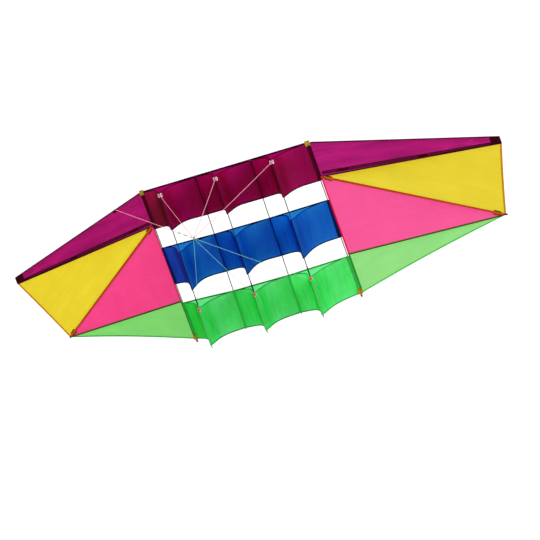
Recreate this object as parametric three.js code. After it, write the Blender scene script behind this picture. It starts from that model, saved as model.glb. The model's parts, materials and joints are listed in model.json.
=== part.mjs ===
// A winged cellular kite: three rows of three triangular cells between seven lengthwise rods, a wing of
// four coloured panels hinged on each outer longeron, and a six-legged bridle ending at a tow ring.
//
// Millimetres. +Z points to the nose, +X to the right wing and -Y to the bridle (windward) side.
// The origin is the middle of the middle row's back face.
import * as THREE from "three";

const DEGREE = Math.PI / 180;

// ---- driving dimensions: centre body ----
const cellWidth = 330; // longeron spacing, one triangular cell
const halfBody = 1.5 * cellWidth; // centre line to outer longeron
const rowChord = 220; // length of each fabric row along the rods
const rowGap = 110; // open gap between two rows
const bodyLength = 3 * rowChord + 2 * rowGap;
const noseZ = bodyLength / 2;
const keelDepth = 163; // back face to keel rod axis
const foldClear = 10; // keel rod axis to the middle of the fabric fold in front of it
const setbackNose = 18; // outer back edge behind the middle panel, at the nose
const setbackTail = 93; // the same at the tail, where the wings draw it back
const noseDrop = 8; // the nose row is this much nearer the tail along its keels than along its longerons
const middleDrop = 24; // the same for the middle row
const tailDrop = 16; // and for the tail row
const cellBillow = 42; // how far the wind pushes a cell panel inwards
const outerBillow = 26; // the same for the two panels next to the outer longerons
const cellScallop = 8; // hollow of the tail edge of a cell panel
const steepDrop = 2.5; // power of the drop's growth from longeron to keel: it falls mostly near the keel
const evenDrop = 1.5; // the same for the tail row, whose tail edge is nearly straight
const cellEdgeClear = 4; // longeron axis to the edge of a cell panel

// ---- driving dimensions: wings, from the nose end of the outer longeron ----
const frontTip = { reach: 985, dihedral: 10 * DEGREE, upper: 298, lower: 335 };
const rearTip = { reach: 892, dihedral: 19.4 * DEGREE, along: 752 };
const seamPurple = 200; // purple and pink panels meet on the root here
const seamGreen = 654; // pink and green panels meet on the root here
const rootGap = 9; // root edge of the purple and green panels, off the hinge axis
const pinkRootGap = 12; // the same for the yellow and pink panels

// ---- driving dimensions: rod ends and reinforcements ----
const longeronTop = 8; // outer longerons reach this far past the nose edge, inside their pockets
const longeronTail = 6; // every longeron reaches this far past the tail edge
const keelInset = 4; // keel rods stop this far inside the nose edge of the cells
const keelTail = 12; // and reach this far past their tail edge
const edgeRodInset = 14; // nose edge rod ends, inboard of the outer longerons
const sparInset = 20; // cross spar and main spar ends, off the outer longerons
const sparAboveSeam = 18; // main spar's root above the purple panel's tail edge
const cornerPocketHeight = 28;
const cornerPocketFlap = 13; // reach of each flap of a corner pocket off the longeron's axis
const strutPocket = { start: 15, length: 44, narrow: 15, wide: 19 }; // from the seam's root end
const tipPocket = { start: 30, length: 46, narrow: 13, wide: 21 }; // from the seam's rear end
const tipPatchLength = 55;
const keelPatchArm = 10;
const keelPatchHeight = 18;

// ---- driving dimensions: sections and gaps ----
const sheet = 1.6; // fabric with its hems and stitching
const webbing = 1.2; // corner pockets and keel patches
const reinforcement = 1; // tip patches and strut pockets
const gap = 0.4; // clearance between neighbours
const longeronRadius = 2.5;
const sparRadius = 2.2;
const cordRadius = 0.8;
const rodSides = 16;
const capRadius = 5; // soft cap on the rear end of a strut
const capLength = 15;

// ---- driving dimensions: bridle ----
const towPoint = new THREE.Vector3(0, -800, 218);
const ringRadius = 7;
const ringHole = 4.2;
const ringThickness = 3;
const upperLegZ = 414;
const lowerLegZ = -247;
const knotRadius = 3;
const cordSides = 10;
const ringSides = 24;
const lineEnd = new THREE.Vector3(-255, -281, 291); // free end of the flying line, from the tow point
const lineStart = 11.4; // its near end, off the centre of the ring

const axisBehindFace = sheet + gap + longeronRadius; // longeron axis, in front of the back face
const slant = Math.atan((setbackTail - setbackNose) / bodyLength);
const foldStretch = 1.4; // the folded fabric's thickness along Y, as a multiple of its own
const apexY = -keelDepth - foldClear; // middle of the fabric at a keel fold
const apexFront = apexY - (foldStretch * sheet) / 2 - 0.1; // just outside that fold

const colours = {
  purple: "#9c1a64",
  purpleCell: "#74093a",
  yellow: "#e4d135",
  pink: "#f4508e",
  greenWing: "#8ce080",
  greenCell: "#3ed060",
  blue: "#14489a",
  ochre: "#c8882a",
  orange: "#c45a1c",
  tipPatch: "#400815",
  bead: "#d8506a",
  cap: "#a32a40",
  black: "#17161a",
  rod: "#4b4f4e",
  cord: "#d9a5a8",
  line: "#d8d79a",
  ring: "#b9bcc0",
};

function fabric(colour) {
  return new THREE.MeshStandardMaterial({ color: colour, roughness: 0.62, metalness: 0 });
}

function smooth(colour, metalness = 0) {
  return new THREE.MeshStandardMaterial({ color: colour, roughness: 0.38, metalness });
}

function named(name, geometry, material) {
  const mesh = new THREE.Mesh(geometry, material);
  mesh.name = name;
  return mesh;
}

// y of the back face at a place on the body: flat in the middle, drawn back towards the outer longerons
function backFaceY(x, z) {
  const outwards = Math.max(0, Math.abs(x) - cellWidth / 2) / cellWidth;
  const towardsTail = (noseZ - z) / bodyLength;
  return outwards * (setbackNose + (setbackTail - setbackNose) * towardsTail);
}

// a straight rod between two points
function rod(name, from, to, radius, material) {
  const along = new THREE.Vector3().subVectors(to, from);
  const geometry = new THREE.CylinderGeometry(radius, radius, along.length(), rodSides);
  const mesh = named(name, geometry, material);
  mesh.position.addVectors(from, to).multiplyScalar(0.5);
  mesh.quaternion.setFromUnitVectors(new THREE.Vector3(0, 1, 0), along.normalize());
  return mesh;
}

// a body of revolution whose profile runs along the line between two points
function turned(name, profile, from, to, material, sides = rodSides) {
  const points = profile.map(([radius, distance]) => new THREE.Vector2(radius, distance));
  const mesh = named(name, new THREE.LatheGeometry(points, sides), material);
  const along = new THREE.Vector3().subVectors(to, from).normalize();
  mesh.position.copy(from);
  mesh.quaternion.setFromUnitVectors(new THREE.Vector3(0, 1, 0), along);
  return mesh;
}

// a box bent onto a surface: place(u, v, w) has u and v from 0 to 1 and w from -1 (front) to 1 (back)
function bentSheet(name, uSegments, vSegments, place, material) {
  const geometry = new THREE.BoxGeometry(1, 2, 1, uSegments, 1, vSegments);
  const position = geometry.getAttribute("position");
  for (let i = 0; i < position.count; i++) {
    const point = place(position.getX(i) + 0.5, position.getZ(i) + 0.5, position.getY(i));
    position.setXYZ(i, point.x, point.y, point.z);
  }
  return named(name, geometry, material);
}

// moves each edge of a flat outline inwards by its own distance
function insetOutline(points, insets) {
  const count = points.length;
  const edges = points.map((point, i) => {
    const along = points[(i + 1) % count].clone().sub(point).normalize();
    const inward = new THREE.Vector2(-along.y, along.x);
    return { start: point.clone().addScaledVector(inward, insets[i]), along };
  });
  return edges.map((edge, i) => {
    const previous = edges[(i + count - 1) % count];
    const between = edge.start.clone().sub(previous.start);
    const distance = between.cross(edge.along) / previous.along.cross(edge.along);
    return previous.start.clone().addScaledVector(previous.along, distance);
  });
}

// a flat plate on an outline of coplanar points, its edges drawn in, moved off its plane by lift
function flatPanel(name, corners, insets, thickness, lift, material) {
  const xAxis = corners[1].clone().sub(corners[0]).normalize();
  const last = corners[corners.length - 1].clone().sub(corners[0]);
  const zAxis = xAxis.clone().cross(last).normalize();
  const yAxis = zAxis.clone().cross(xAxis);
  const flat = corners.map((corner) => {
    const offset = corner.clone().sub(corners[0]);
    return new THREE.Vector2(offset.dot(xAxis), offset.dot(yAxis));
  });
  const shape = new THREE.Shape(insetOutline(flat, insets));
  const geometry = new THREE.ExtrudeGeometry(shape, { depth: thickness, bevelEnabled: false });
  geometry.translate(0, 0, -thickness / 2);
  const mesh = named(name, geometry, material);
  mesh.quaternion.setFromRotationMatrix(new THREE.Matrix4().makeBasis(xAxis, yAxis, zAxis));
  const back = zAxis.y > 0 ? zAxis : zAxis.clone().negate();
  mesh.position.copy(corners[0]).addScaledVector(back, lift);
  return mesh;
}

// ---- centre body ----

const rows = [
  { name: "nose", top: noseZ, drop: noseDrop, power: steepDrop, colour: colours.purpleCell },
  { name: "middle", top: rowChord / 2, drop: middleDrop, power: steepDrop, colour: colours.blue },
  { name: "tail", top: -noseZ + rowChord, drop: tailDrop, power: evenDrop, colour: colours.greenCell },
];
const columns = [
  { name: "left", x: -cellWidth },
  { name: "centre", x: 0 },
  { name: "right", x: cellWidth },
];

function longeronAxis(x, z) {
  const acrossBody = THREE.MathUtils.clamp(x, -halfBody, halfBody);
  return new THREE.Vector3(x, backFaceY(acrossBody, z) - axisBehindFace, z);
}

function longeron(name, x, top) {
  const bottom = longeronAxis(x, -noseZ - longeronTail);
  return rod(name, longeronAxis(x, top), bottom, longeronRadius, smooth(colours.rod));
}

function keelRod(name, x) {
  const top = new THREE.Vector3(x, -keelDepth, noseZ - noseDrop - keelInset);
  const bottom = new THREE.Vector3(x, -keelDepth, -noseZ - tailDrop - keelTail);
  return rod(name, top, bottom, longeronRadius, smooth(colours.rod));
}

// The rod along the nose edge lies just above the inner longerons' ends, between the corner pockets.
function noseRod() {
  const end = new THREE.Vector3(halfBody - edgeRodInset, 4, noseZ + gap + sparRadius);
  const start = end.clone().setX(-end.x);
  return rod("nose_edge_rod", start, end, sparRadius, smooth(colours.rod));
}

// The cross spar holds the outer longerons apart, behind the nose row.
function crossSpar() {
  const z = noseZ - seamPurple + sparAboveSeam;
  const y = backFaceY(halfBody, z) + gap + sparRadius;
  const start = new THREE.Vector3(-halfBody + sparInset, y, z);
  return rod("cross_spar", start, start.clone().setX(-start.x), sparRadius, smooth(colours.rod));
}

// The middle panel is split off centre, so that the origin lies inside one of its facets.
function backSheet(row) {
  const edge = halfBody - 2;
  const inner = cellWidth / 2;
  const stations = [-edge, -inner, inner * 0.4, inner, edge];
  const place = (u, v, w) => {
    const x = stations[Math.round(u * (stations.length - 1))];
    const z = row.top - rowChord * (1 - v);
    return { x, y: backFaceY(x, z) - sheet / 2 + (w * sheet) / 2, z };
  };
  return bentSheet(`back_sheet_${row.name}`, stations.length - 1, 1, place, fabric(row.colour));
}

// One cell's two windward panels: a strip from longeron to keel fold and back to the next longeron.
function cellPanels(row, column) {
  const place = (u, v, w) => {
    const side = u < 0.5 ? -1 : 1;
    const toKeel = 1 - Math.abs(2 * u - 1);
    const billow = column.x * side > 0 ? outerBillow : cellBillow;
    const scallop = cellScallop * Math.sin(Math.PI * toKeel) * (1 - v);
    const z = row.top - rowChord * (1 - v) - row.drop * toKeel ** row.power + scallop;
    const edge = longeronAxis(column.x + (side * cellWidth) / 2, z);
    edge.x -= side * cellEdgeClear;
    const across = new THREE.Vector3(column.x, apexY, z).sub(edge);
    const outward = new THREE.Vector3(-across.y * side, across.x * side, 0).normalize();
    const point = edge.addScaledVector(across, toKeel);
    point.addScaledVector(outward, -billow * Math.sin(Math.PI * toKeel) ** 1.5);
    const atFold = toKeel > 0.999;
    const offset = atFold ? new THREE.Vector3(0, -foldStretch, 0) : outward;
    return point.addScaledVector(offset, (-w * sheet) / 2);
  };
  return bentSheet(`cell_${row.name}_${column.name}`, 12, 3, place, fabric(row.colour));
}

// A sewn corner pocket folded over the end of an outer longeron: one flap lies on the cell, one on the wing.
function cornerPocket(name, side, middleZ) {
  const inboardSlip = 2.4; // keeps the inboard flap off the edge of the cell panel
  const place = (u, v, w) => {
    const across = side * (2 * u - 1);
    const centre = longeronAxis(side * halfBody, middleZ + cornerPocketHeight * (v - 0.5));
    const inboard = new THREE.Vector3(side * cellWidth, apexY, centre.z).sub(centre).normalize();
    const outboard = new THREE.Vector3(side, 0, 0);
    const reach = cornerPocketFlap * Math.abs(across);
    const point = centre.addScaledVector(across < 0 ? inboard : outboard, reach);
    point.x += across < 0 ? side * inboardSlip * Math.abs(across) : 0;
    point.y -= longeronRadius + gap + webbing - (w * webbing) / 2;
    return point;
  };
  return bentSheet(name, 2, 1, place, fabric(colours.ochre));
}

function tailCap(name, side) {
  const radius = 4;
  const from = longeronAxis(side * halfBody, -noseZ - longeronTail - gap);
  const to = longeronAxis(side * halfBody, -noseZ - longeronTail - capLength);
  return turned(name, capProfile(radius, from.distanceTo(to)), from, to, smooth(colours.cap));
}

function capProfile(radius, length) {
  return [
    [0, 0],
    [radius, 0],
    [radius, length - 1.5],
    [radius - 1.5, length],
    [0, length],
  ];
}

// The reinforcement folded over a keel where a lower bridle leg is tied.
function keelPatch(name, x) {
  const front = apexFront - gap - 0.3;
  const place = (u, v, w) => {
    const across = (2 * u - 1) * keelPatchArm;
    const y = front + Math.abs(across) - webbing / 2 + (w * webbing) / 2;
    return { x: x + across, y, z: lowerLegZ + keelPatchHeight * (v - 0.5) };
  };
  return bentSheet(name, 2, 1, place, fabric(colours.bead));
}

function centreBody() {
  const group = new THREE.Group();
  group.add(longeron("longeron_outer_left", -halfBody, noseZ + longeronTop));
  group.add(longeron("longeron_inner_left", -cellWidth / 2, noseZ));
  group.add(longeron("longeron_inner_right", cellWidth / 2, noseZ));
  group.add(longeron("longeron_outer_right", halfBody, noseZ + longeronTop));
  group.add(noseRod());
  group.add(crossSpar());
  for (const row of rows) {
    group.add(backSheet(row));
    columns.forEach((column) => group.add(cellPanels(row, column)));
  }
  for (const column of columns) {
    group.add(keelRod(`keel_rod_${column.name}`, column.x));
    group.add(keelPatch(`keel_patch_${column.name}`, column.x));
  }
  for (const [label, side] of [["left", -1], ["right", 1]]) {
    group.add(cornerPocket(`corner_pocket_nose_${label}`, side, noseZ - 3));
    group.add(cornerPocket(`corner_pocket_tail_${label}`, side, -noseZ + 12));
    group.add(tailCap(`tail_cap_${label}`, side));
  }
  return group;
}

// ---- bridle ----

// A cord with a knot at its kite end, stopping just short of the tow ring.
function bridleLeg(name, x, z, front) {
  const from = new THREE.Vector3(x, front - gap - knotRadius, z);
  const length = from.distanceTo(towPoint) - ringRadius - 1.4;
  const profile = [[0, -knotRadius]];
  for (let angle = -60; angle <= 60; angle += 30) {
    profile.push([knotRadius * Math.cos(angle * DEGREE), knotRadius * Math.sin(angle * DEGREE)]);
  }
  profile.push([cordRadius, knotRadius], [cordRadius, length], [0, length]);
  return turned(name, profile, from, towPoint, smooth(colours.cord), cordSides);
}

function towRing() {
  const half = ringThickness / 2;
  const profile = [
    [ringHole, -half],
    [ringRadius, -half],
    [ringRadius, half],
    [ringHole, half],
    [ringHole, -half],
  ];
  const along = towPoint.clone().setX(1);
  return turned("tow_ring", profile, towPoint, along, smooth(colours.ring, 0.8), ringSides);
}

// The first stretch of the flying line, with the knot that ties it to the ring.
function flyingLine() {
  const from = towPoint.clone().addScaledVector(lineEnd.clone().normalize(), lineStart);
  const length = lineEnd.length() - lineStart;
  const profile = [
    [0, -2.6],
    [2, -1.6],
    [2.4, 0],
    [2, 6],
    [cordRadius, 9],
    [cordRadius, length],
    [0, length],
  ];
  const to = towPoint.clone().add(lineEnd);
  return turned("flying_line", profile, from, to, smooth(colours.line), cordSides);
}

function bridle() {
  const group = new THREE.Group();
  const patchFront = apexFront - gap - 0.3 - webbing;
  for (const column of columns) {
    group.add(bridleLeg(`bridle_upper_${column.name}`, column.x, upperLegZ, apexFront));
    group.add(bridleLeg(`bridle_lower_${column.name}`, column.x, lowerLegZ, patchFront));
  }
  group.add(towRing());
  group.add(flyingLine());
  return group;
}

// ---- wings ----
// A wing is built in its own group: the hinge axis is the group's Z axis through its origin at the nose
// edge of the outer longeron, and a point is given by its reach off that axis, its dihedral angle and its
// distance along the longeron towards the tail.

function wingPoint(side, reach, dihedral, along) {
  return new THREE.Vector3(side * reach * Math.cos(dihedral), reach * Math.sin(dihedral), -along);
}

function wingCorners(side) {
  const front = (reach, along) => wingPoint(side, reach, frontTip.dihedral, along);
  const aft = (reach, along) => wingPoint(side, reach, rearTip.dihedral, along);
  return {
    frontUpper: front(frontTip.reach, frontTip.upper),
    frontLower: front(frontTip.reach, frontTip.lower),
    noseRoot: front(rootGap, 0),
    frontSeamRoot: front(rootGap, seamPurple),
    rear: aft(rearTip.reach, rearTip.along),
    rearSeamRoot: aft(pinkRootGap, seamPurple),
    middleRoot: aft(pinkRootGap, seamGreen),
    tailRoot: aft(pinkRootGap, bodyLength / Math.cos(slant)),
  };
}

// Each panel goes once round its outline, with the distance that each edge is drawn in.
function wingPanels(group, prefix, c) {
  const edgeClear = sparRadius + gap;
  const panel = (name, corners, insets, colour) => {
    group.add(flatPanel(`${prefix}_${name}`, corners, insets, sheet, 0, fabric(colour)));
  };
  const purpleOutline = [c.frontSeamRoot, c.frontLower, c.frontUpper, c.noseRoot];
  panel("purple_panel", purpleOutline, [gap, 0, edgeClear, 0], colours.purple);
  panel("yellow_panel", [c.rearSeamRoot, c.rear, c.frontLower], [gap, 0, gap], colours.yellow);
  panel("pink_panel", [c.middleRoot, c.rear, c.rearSeamRoot], [gap, gap, 0], colours.pink);
  panel("green_panel", [c.tailRoot, c.rear, c.middleRoot], [0, gap, 0], colours.greenWing);
}

// The leading-edge rod lies in the plane of the purple panel and the main spar behind it.
function wingFrontRods(group, prefix, side, c) {
  const sparLift = sheet / 2 + gap + sparRadius;
  const rootInset = 8;
  const tipInset = 6;
  const inward = c.frontUpper.clone().sub(c.noseRoot).normalize();
  const edgeStart = c.noseRoot.clone().addScaledVector(inward, rootInset);
  const edgeEnd = c.frontUpper.clone().addScaledVector(inward, -tipInset);
  group.add(rod(`${prefix}_leading_edge_rod`, edgeStart, edgeEnd, sparRadius, smooth(colours.rod)));

  const lift = wingPoint(side, sparLift, frontTip.dihedral + Math.PI / 2, 0);
  const sparStart = wingPoint(side, sparInset, frontTip.dihedral, seamPurple - sparAboveSeam).add(lift);
  const sparReach = frontTip.reach - sparInset - tipInset;
  const sparEnd = wingPoint(side, sparReach, frontTip.dihedral, frontTip.lower - rootInset).add(lift);
  group.add(rod(`${prefix}_main_spar`, sparStart, sparEnd, sparRadius, smooth(colours.rod)));
}

// The directions of the yellow and pink seam: along it to the rear tip, out of its back, and across it.
function seamFrame(c) {
  const along = c.rear.clone().sub(c.rearSeamRoot).normalize();
  const yellowNormal = along.clone().cross(c.frontLower.clone().sub(c.rearSeamRoot)).normalize();
  const pinkNormal = c.middleRoot.clone().sub(c.rearSeamRoot).cross(along).normalize();
  const back = yellowNormal.add(pinkNormal).normalize();
  back.multiplyScalar(back.y > 0 ? 1 : -1);
  return { along, back, across: along.clone().cross(back).normalize() };
}

// The diagonal strut lies behind the yellow and pink seam, with a cap on its rear end.
function strutAndCap(group, prefix, c, seam) {
  const lift = sheet / 2 + gap + capRadius + 0.6;
  const rootInset = 10;
  const tipInset = 10;
  const behind = seam.back.clone().multiplyScalar(lift);
  const start = c.rearSeamRoot.clone().addScaledVector(seam.along, rootInset).add(behind);
  const end = c.rear.clone().addScaledVector(seam.along, -tipInset).add(behind);
  group.add(rod(`${prefix}_diagonal_strut`, start, end, sparRadius, smooth(colours.rod)));
  const capStart = end.clone().addScaledVector(seam.along, gap);
  const capEnd = end.clone().addScaledVector(seam.along, capLength);
  const profile = capProfile(capRadius, capLength - gap);
  group.add(turned(`${prefix}_rear_tip_cap`, profile, capStart, capEnd, smooth(colours.black)));
}

// The reinforcement on the windward face of the front tip.
function tipPatch(group, prefix, c) {
  const share = tipPatchLength / frontTip.reach;
  const corners = [
    c.frontLower.clone().lerp(c.frontSeamRoot, share),
    c.frontLower,
    c.frontUpper,
    c.frontUpper.clone().lerp(c.noseRoot, share),
  ];
  const insets = [1, 0, sparRadius + gap, 0];
  const lift = -(sheet / 2 + gap + reinforcement / 2);
  const name = `${prefix}_tip_patch`;
  group.add(flatPanel(name, corners, insets, reinforcement, lift, fabric(colours.tipPatch)));
}

// A pocket that holds one end of the strut, over the seam on the windward face. It widens away from the tip.
function seamPocket(group, name, c, seam, size, start, step) {
  const corner = (along, across) => {
    const point = c.rearSeamRoot.clone().addScaledVector(seam.along, start + step * along);
    return point.addScaledVector(seam.across, across);
  };
  const corners = [
    corner(0, -size.narrow / 2),
    corner(size.length, -size.wide / 2),
    corner(size.length, size.wide / 2),
    corner(0, size.narrow / 2),
  ];
  const crown = 1.9; // the wing is not flat across the seam
  const lift = -(sheet / 2 + gap + reinforcement / 2 + crown);
  group.add(flatPanel(name, corners, [0, 0, 0, 0], reinforcement, lift, fabric(colours.orange)));
}

function wing(label, side) {
  const prefix = `wing_${label}`;
  const group = new THREE.Group();
  const corners = wingCorners(side);
  const seam = seamFrame(corners);
  const seamEnd = corners.rear.distanceTo(corners.rearSeamRoot) - tipPocket.start;
  wingPanels(group, prefix, corners);
  wingFrontRods(group, prefix, side, corners);
  strutAndCap(group, prefix, corners, seam);
  tipPatch(group, prefix, corners);
  seamPocket(group, `${prefix}_strut_pocket_root`, corners, seam, strutPocket, strutPocket.start, 1);
  seamPocket(group, `${prefix}_strut_pocket_tip`, corners, seam, tipPocket, seamEnd, -1);
  group.position.copy(longeronAxis(side * halfBody, noseZ));
  group.rotation.x = slant;
  return group;
}

const kite = new THREE.Group();
kite.add(centreBody());
kite.add(bridle());
kite.add(wing("left", -1));
kite.add(wing("right", 1));

export default kite;
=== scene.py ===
"""Looks of a winged cellular kite: nylon, sleeves, hems, pockets, cords, studio light and camera."""

import json
import math

import bmesh
import bpy
from mathutils import Matrix, Vector, noise


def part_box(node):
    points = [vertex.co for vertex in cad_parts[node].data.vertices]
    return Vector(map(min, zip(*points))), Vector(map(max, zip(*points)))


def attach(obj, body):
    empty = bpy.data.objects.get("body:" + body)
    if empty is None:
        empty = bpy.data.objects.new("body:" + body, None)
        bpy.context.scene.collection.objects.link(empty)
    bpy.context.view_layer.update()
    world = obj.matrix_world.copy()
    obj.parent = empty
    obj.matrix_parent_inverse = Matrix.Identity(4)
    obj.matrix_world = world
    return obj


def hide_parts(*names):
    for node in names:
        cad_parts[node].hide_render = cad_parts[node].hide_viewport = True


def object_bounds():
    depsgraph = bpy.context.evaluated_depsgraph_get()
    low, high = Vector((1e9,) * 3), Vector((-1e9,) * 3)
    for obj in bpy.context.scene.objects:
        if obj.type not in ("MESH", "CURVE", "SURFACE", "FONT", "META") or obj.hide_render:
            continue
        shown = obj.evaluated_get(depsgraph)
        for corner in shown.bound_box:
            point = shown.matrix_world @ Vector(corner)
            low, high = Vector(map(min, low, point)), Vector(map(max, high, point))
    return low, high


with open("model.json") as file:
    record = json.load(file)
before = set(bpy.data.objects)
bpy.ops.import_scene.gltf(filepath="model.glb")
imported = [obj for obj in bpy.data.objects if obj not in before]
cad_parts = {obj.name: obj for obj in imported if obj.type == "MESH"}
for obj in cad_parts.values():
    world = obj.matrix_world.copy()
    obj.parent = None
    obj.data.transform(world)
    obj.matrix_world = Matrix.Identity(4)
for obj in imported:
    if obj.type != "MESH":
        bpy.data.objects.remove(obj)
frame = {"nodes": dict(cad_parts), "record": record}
cad_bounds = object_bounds()

# ---- driving dimensions, in metres ----

MM = 0.001
LAYER = 0.35 * MM  # distance between two sewn layers of cloth
FOLD_HALF = 1.2 * MM  # a cell's fold, behind the front of its CAD box
BACK_OFFSET = 3.7 * MM  # middle of a back sheet, behind the longerons' axes
CELL_EDGE = 4 * MM  # a cell panel's edge, off the longeron's axis
CELL_BILLOW = 44 * MM
OUTER_BILLOW = 28 * MM
BACK_BILLOW = 7 * MM
CELL_CREASE = 2.4 * MM
PULL_CREASE = 2.6 * MM
PULL_START = 20 * MM
PULL_REACH = 95 * MM
CELL_HEM = 6 * MM
ROW_HEM = 8 * MM
NOSE_HEM = 4 * MM
KEEL_CHANNEL = 3.3 * MM  # radius of the cloth round a keel rod
KEEL_BEHIND = 2.6 * MM  # from a cell's fold back to the middle of that channel
CAD_KNOT = 3 * MM  # radius of the knots on the CAD cords
UPPER_CORD = 1.45 * MM
LOWER_CORD = 0.95 * MM
LINE_CORD = 1.1 * MM
LEG_SAG = 3 * MM
LEG_KNOT = 4.2 * MM
RING_KNOT = 2.2 * MM
LINE_KNOT = 3.4 * MM
RING_GAP = 9 * MM  # from the middle of the tow ring to the end of a leg
LINE_GAP = 10 * MM
BOW_CORD = 2.2 * MM
BOW_OUT = 7 * MM
BOW_WIDE = 3.5 * MM
BOW_HIGH = 9.5 * MM
SEAM = 8 * MM
EDGE_SLEEVE = 2.9 * MM  # round the rods along the nose edge and the wings' leading edges
EDGE_SLEEVE_PAST = 6 * MM
EDGE_TUCK = 2.4 * MM  # the purple cloth runs this far into that sleeve
POCKET_PROUD = 2.2 * MM  # a strut pocket's bound edges, beyond its CAD plate
RIPSTOP_PITCH = 6 * MM
RIPSTOP_THREAD = 0.9 * MM
THREADS = 1400.0  # fineness of the plain weave
STITCH_PITCH = 4.2 * MM
STITCH_ROW = 2 * MM  # in from the edge
STITCH_THREAD = 0.7 * MM
WING_REACH = 6 * MM  # the wings' root hems reach this far over the gap to the longeron
WING_BELLY = {"purple": 9 * MM, "yellow": 12 * MM, "pink": 11 * MM, "green": 7 * MM}
WING_HEM = {"purple": 6 * MM, "yellow": 11 * MM, "pink": 8.5 * MM, "green": 9 * MM}
WING_CREASE = 1.5 * MM
PURPLE_CREASE = 3 * MM
EDGE_HEM = 3 * MM
TAIL_HEM = 7 * MM
YELLOW_HOLLOW = 2 * MM
GREEN_HOLLOW = 9 * MM
SPAR_OPENINGS = ((0.095, 0.155), (0.555, 0.605))  # shares of the main spar
FERRULE = 56 * MM  # black sleeve on a keel rod at the tail row's mouth
FERRULE_RADIUS = 4.2 * MM
FERRULE_ENDS = 0.9 * MM  # how much thinner its ends are
EDGE_MARK = (0.19, 0.216)  # the dark patch's shares of the left wing's leading edge
EDGE_MARK_DEPTH = (0.995, 0.92)  # and of the panel's depth
REAR_TRIM = 4 * MM  # the cloth stops this far short of the rear tip
POCKET_HALF = 12.5 * MM  # of a corner pocket's width
CAP_WIDE = 6.8 * MM  # radius of a tail cap at its pocket
CAP_NARROW = 4.4 * MM
LOOP_CORD = 2.4 * MM
LOOP_REACH = 7 * MM
LOOP_SPREAD = 5.2 * MM

UP = Vector((0, 0, 1))
BACK = Vector((0, 1, 0))


# ---- colours and light through the cloth ----

SLANT_DEPTH = 0.66  # how much more a slanting view deepens the colour
THROUGH = 0.74  # share of the light that passes a layer
THROUGH_FOLDED = 0.4
SHEEN = 0.03
CREASE_PAINTED_SHADE = 0.66  # painted shade in the creases, as a share of the cloth's plain colour
# painted highlight on the creases, as a share of the cloth's plain colour
CREASE_PAINTED_HIGHLIGHT = 1.5
CREASE_LINE = 0.014  # thinness of the sharp creases


def srgb(*channels):
    """A screen colour, each channel from 0 to 255, as linear light."""
    shares = [channel / 255 for channel in channels]
    return (*(s / 12.92 if s <= 0.04045 else ((s + 0.055) / 1.055) ** 2.4 for s in shares), 1)


NYLON = {
    "purple": srgb(168, 24, 109),
    "plum": srgb(178, 4, 105),
    "yellow": srgb(230, 210, 61),
    "pink": srgb(238, 85, 147),
    "light_green": srgb(141, 214, 125),
    "green": srgb(114, 236, 143),
    "blue": srgb(30, 131, 212),
}
FOLDED = {
    "purple_edge": srgb(84, 4, 40),
    "purple_sleeve": srgb(150, 14, 84),
    "plum_edge": srgb(70, 0, 30),
    "plum_sleeve": srgb(104, 2, 44),
    "yellow_hem": srgb(232, 162, 10),
    "pink_hem": srgb(238, 18, 60),
    "light_green_hem": srgb(72, 214, 84),
    "green_edge": srgb(38, 172, 58),
    "green_sleeve": srgb(96, 220, 112),
    "blue_edge": srgb(6, 24, 84),
    "blue_sleeve": srgb(10, 44, 116),
    "seam_orange": srgb(216, 78, 8),
    "seam_dark_green": srgb(84, 96, 20),
    "ochre": srgb(216, 184, 52),
    "tail_ochre": srgb(214, 160, 30),
    "pocket_orange": srgb(218, 116, 24),
    "pocket_dark": srgb(92, 50, 6),
    # painted shadow under a strut pocket
    "pocket_red_shadow": srgb(150, 14, 14),
    "tip_patch": srgb(66, 4, 22),
    "coral": srgb(238, 104, 92),
    "pale_coral": srgb(255, 190, 166),
}


# ---- materials ----

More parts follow.
